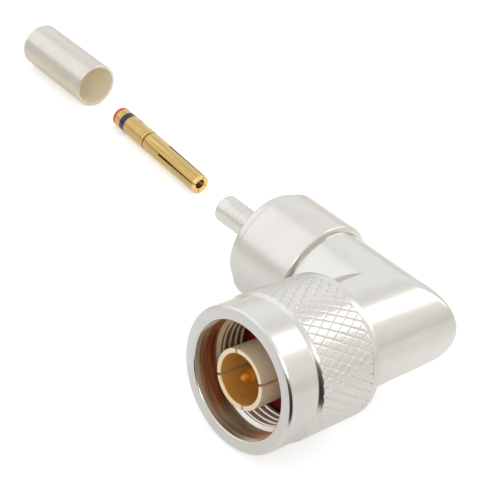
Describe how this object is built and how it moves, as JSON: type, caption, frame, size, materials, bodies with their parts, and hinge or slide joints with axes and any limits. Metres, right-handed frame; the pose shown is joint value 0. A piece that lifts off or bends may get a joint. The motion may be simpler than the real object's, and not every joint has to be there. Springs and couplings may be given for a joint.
{
  "type": "n type connector",
  "caption": "Right-angle coaxial plug with a swivelling knurled coupling nut, ribbed crimp stem, loose centre contact and crimp ferrule.",
  "frame": {"origin": "centre of the outer contact's tip face, which is the interface's reference plane", "axes": "-Y is the mating direction, -X is the way the cable leaves, +Z is square to both and points up as the plug lies on its nut"},
  "size_m": [0.1176, 0.0475, 0.0208],
  "materials": {
    "nickel_plate": "satin nickel plating on turned metal",
    "contact_plate": "smooth silver-white plating",
    "gold_plate": "bright gold plating",
    "ferrule_plate": "dull nickel plating on soft tube",
    "spring_ring": "plain spring wire",
    "silicone": "dull red silicone",
    "insulator": "waxy white fluoropolymer"
  },
  "bodies": {
    "plug_body": {"elbow_body": "nickel_plate", "rear_housing": "nickel_plate", "crimp_stem": "nickel_plate", "stem_insulator": "insulator", "outer_contact": "contact_plate", "front_insulator": "insulator", "centre_pin": "gold_plate", "cross_pin": "gold_plate", "gasket": "silicone", "retaining_ring": "spring_ring", "crimp_contact": "gold_plate", "crimp_ferrule": "ferrule_plate"},
    "nut": {"coupling_nut": "nickel_plate"}
  },
  "joints": [
    {"name": "nut_turn", "type": "hinge", "parent": "plug_body", "child": "nut", "pos_m": [0, 0.008, 0], "axis": [0, 1, 0], "continuous": true}
  ]
}
